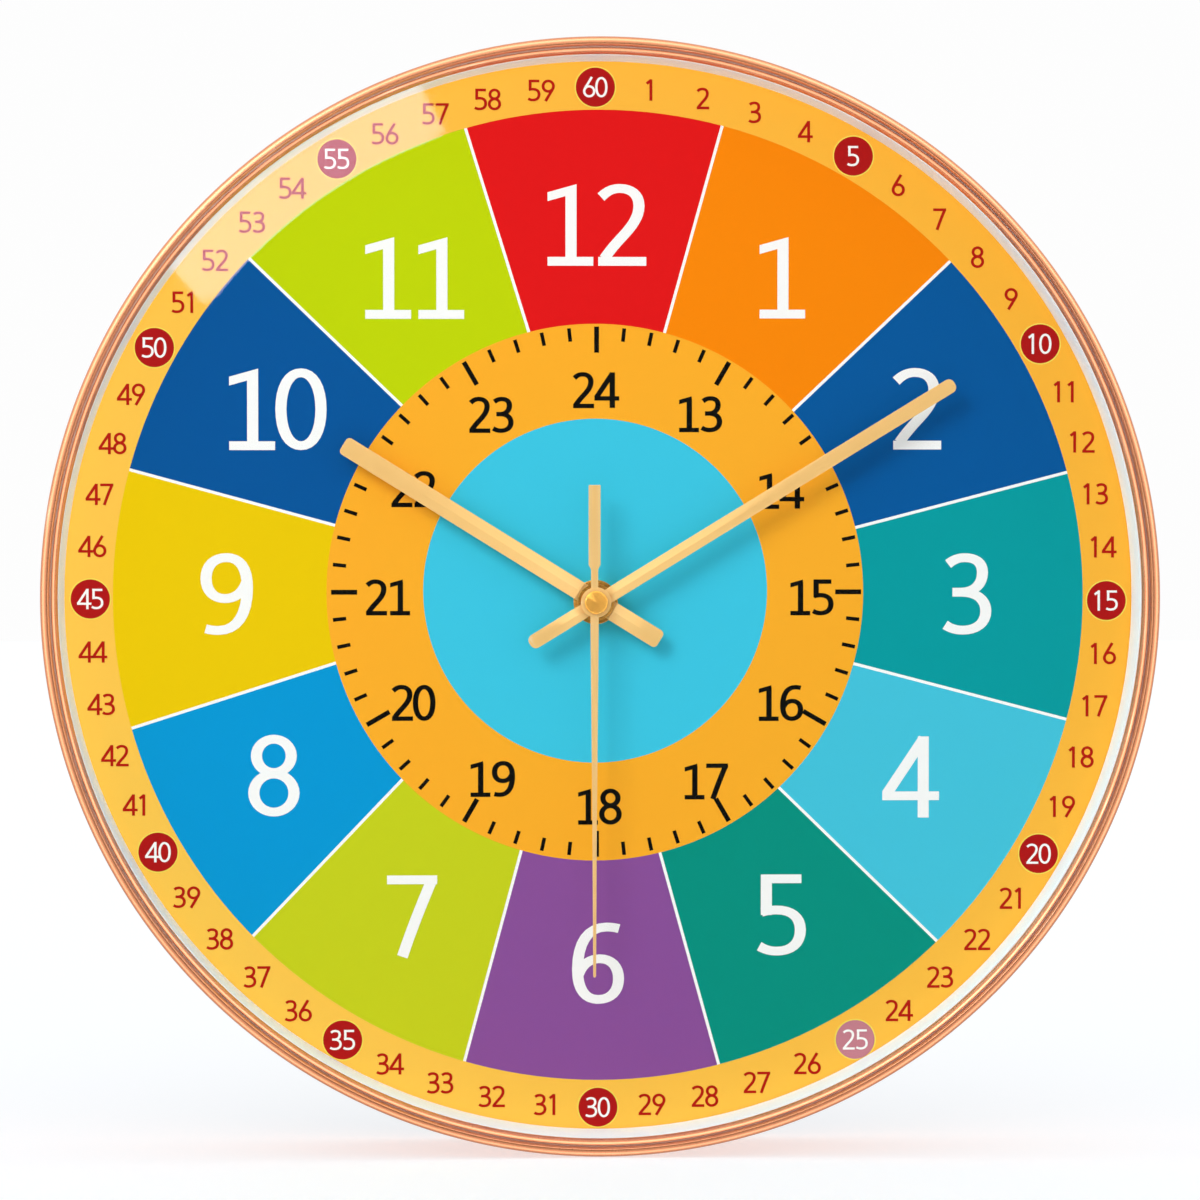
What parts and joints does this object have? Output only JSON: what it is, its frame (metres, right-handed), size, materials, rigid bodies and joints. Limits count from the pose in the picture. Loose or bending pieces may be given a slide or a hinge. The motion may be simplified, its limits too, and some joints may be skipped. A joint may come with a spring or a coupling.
{
  "type": "teaching wall clock",
  "caption": "Round quartz teaching wall clock with a slim plated rim, glass, sectored dial, three hands, geared movement and keyhole back cover.",
  "frame": {"origin": "in the middle of the rim, halfway between the wall face and the front of the rim; the hands' axis stands 1.3 mm to the left of it and 1.4 mm below it, as pictured", "axes": "+Z towards 12 o'clock, -Y out of the dial towards the viewer, +X towards 3 o'clock"},
  "size_m": [0.3, 0.0422, 0.3],
  "materials": {
    "rose_gold_plate": "rose-gold electroplate over moulded ABS, mirror gloss",
    "glass": "clear polished, flat with a shallow sloping edge",
    "white_plastic": "moulded satin white",
    "dial_print": "printed coloured dial on white plate",
    "black_plastic": "fine moulded texture, black",
    "grey_plastic": "moulded dark grey",
    "wheel_plastic": "moulded acetal, natural white",
    "hand_gold": "pale gold anodised, fine brushed",
    "brass": "turned and polished",
    "steel": "plated",
    "copper": "enamelled copper wire, wound",
    "magnet": "sintered, dark grey",
    "circuit_laminate": "phenolic laminate",
    "rubber": "black sheet rubber",
    "battery_wrap": "plain printed sleeve"
  },
  "bodies": {
    "case": {"frame_ring": "rose_gold_plate", "bezel_insert": "rose_gold_plate", "glass_lens": "glass", "spacer_ring": "white_plastic", "dial_plate": "dial_print", "back_cover": "black_plastic", "back_screw_1": "steel", "back_screw_2": "steel", "back_screw_3": "steel", "back_screw_4": "steel", "back_screw_5": "steel", "back_screw_6": "steel", "movement_front_case": "black_plastic", "movement_back_case": "grey_plastic", "train_bridge": "wheel_plastic", "threaded_bush": "brass", "rubber_washer": "rubber", "dial_washer": "brass", "dial_nut": "brass", "coil_bobbin": "wheel_plastic", "coil_winding": "copper", "coil_core": "steel", "stator_plate": "steel", "circuit_board": "circuit_laminate", "quartz_crystal": "steel", "chip_blob": "black_plastic", "battery_cell": "battery_wrap", "battery_contact_negative": "steel", "battery_contact_positive": "steel"},
    "second_group": {"seconds_wheel": "wheel_plastic", "second_hand": "hand_gold", "second_hand_tube": "brass", "hub_cap": "brass"},
    "rotor_group": {"rotor_pinion": "wheel_plastic", "rotor_magnet": "magnet"},
    "fifth_group": {"fifth_wheel": "wheel_plastic"},
    "third_group": {"third_wheel": "wheel_plastic"},
    "centre_group": {"centre_wheel": "wheel_plastic"},
    "minute_group": {"cannon_pinion": "brass", "minute_hand": "hand_gold", "minute_hand_collet": "brass"},
    "minute_wheel_group": {"minute_wheel": "wheel_plastic"},
    "hour_group": {"hour_wheel": "wheel_plastic", "hour_hand": "hand_gold", "hour_hand_collet": "brass"},
    "setting_group": {"setting_arbor": "wheel_plastic", "setting_knob": "grey_plastic"}
  },
  "joints": [
    {"name": "second_hand_turn", "type": "hinge", "parent": "case", "child": "second_group", "pos_m": [-0.0013, 0, -0.0014], "axis": [0, 1, 0], "continuous": true},
    {"name": "rotor_turn", "type": "hinge", "parent": "case", "child": "rotor_group", "pos_m": [0.01395, 0, 0.00764], "axis": [0, 1, 0], "continuous": true},
    {"name": "fifth_wheel_turn", "type": "hinge", "parent": "case", "child": "fifth_group", "pos_m": [0.00605, 0, 0.00477], "axis": [0, 1, 0], "continuous": true},
    {"name": "third_wheel_turn", "type": "hinge", "parent": "case", "child": "third_group", "pos_m": [-0.01065, 0, 0.004], "axis": [0, 1, 0], "continuous": true},
    {"name": "centre_wheel_turn", "type": "hinge", "parent": "case", "child": "centre_group", "pos_m": [-0.0013, 0, -0.0014], "axis": [0, 1, 0], "continuous": true},
    {"name": "minute_hand_turn", "type": "hinge", "parent": "case", "child": "minute_group", "pos_m": [-0.0013, 0, -0.0014], "axis": [0, 1, 0], "continuous": true},
    {"name": "minute_wheel_turn", "type": "hinge", "parent": "case", "child": "minute_wheel_group", "pos_m": [0.00815, 0, -0.00307], "axis": [0, 1, 0], "continuous": true},
    {"name": "hour_hand_turn", "type": "hinge", "parent": "case", "child": "hour_group", "pos_m": [-0.0013, 0, -0.0014], "axis": [0, 1, 0], "continuous": true},
    {"name": "setting_knob_turn", "type": "hinge", "parent": "case", "child": "setting_group", "pos_m": [0.01717, 0, -0.00635], "axis": [0, 1, 0], "continuous": true}
  ],
  "couplings": [
    {"joint": "fifth_wheel_turn", "follows": "second_hand_turn", "ratio": -5},
    {"joint": "rotor_turn", "follows": "second_hand_turn", "ratio": 30},
    {"joint": "third_wheel_turn", "follows": "second_hand_turn", "ratio": -0.125},
    {"joint": "centre_wheel_turn", "follows": "second_hand_turn", "ratio": 0.016667},
    {"joint": "minute_wheel_turn", "follows": "minute_hand_turn", "ratio": -0.33333},
    {"joint": "hour_hand_turn", "follows": "minute_hand_turn", "ratio": 0.083333},
    {"joint": "setting_knob_turn", "follows": "minute_hand_turn", "ratio": 1}
  ]
}
